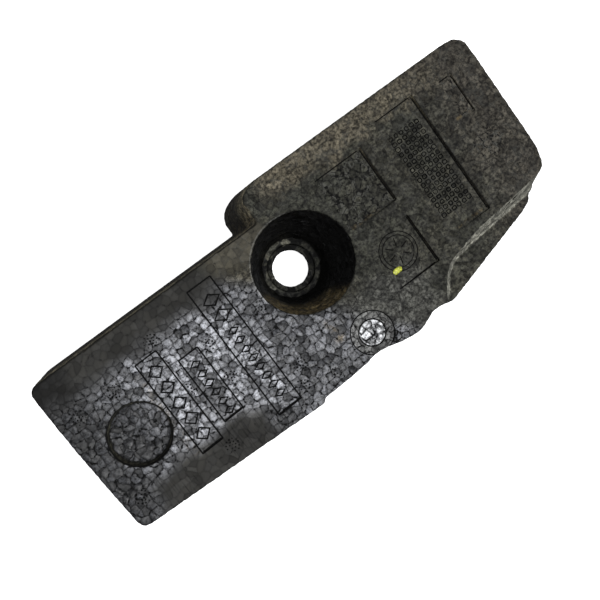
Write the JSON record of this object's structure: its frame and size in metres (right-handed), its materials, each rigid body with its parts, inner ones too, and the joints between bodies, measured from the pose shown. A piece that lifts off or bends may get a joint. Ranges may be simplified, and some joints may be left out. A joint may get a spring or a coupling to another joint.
{
  "type": "moulded bead foam spacer block",
  "caption": "Moulded bead-foam spacer block with a stepped outline, a deep tapered screw well, a blind round pocket and a front that slopes up towards its wide end.",
  "frame": {"origin": "centre of the bounding box, on the plane of the flat back that the block rests on", "axes": "+X along the long side towards the thick wide end, +Y across towards the long edge with the corner notch, +Z out of the front through the screw well"},
  "size_m": [0.2818, 0.1204, 0.0794],
  "materials": {
    "bead_foam": "charcoal bead-foam moulding skin, semi-matt, dusty on the sloping front"
  },
  "bodies": {
    "root": {"foam_block": "bead_foam"}
  },
  "joints": []
}
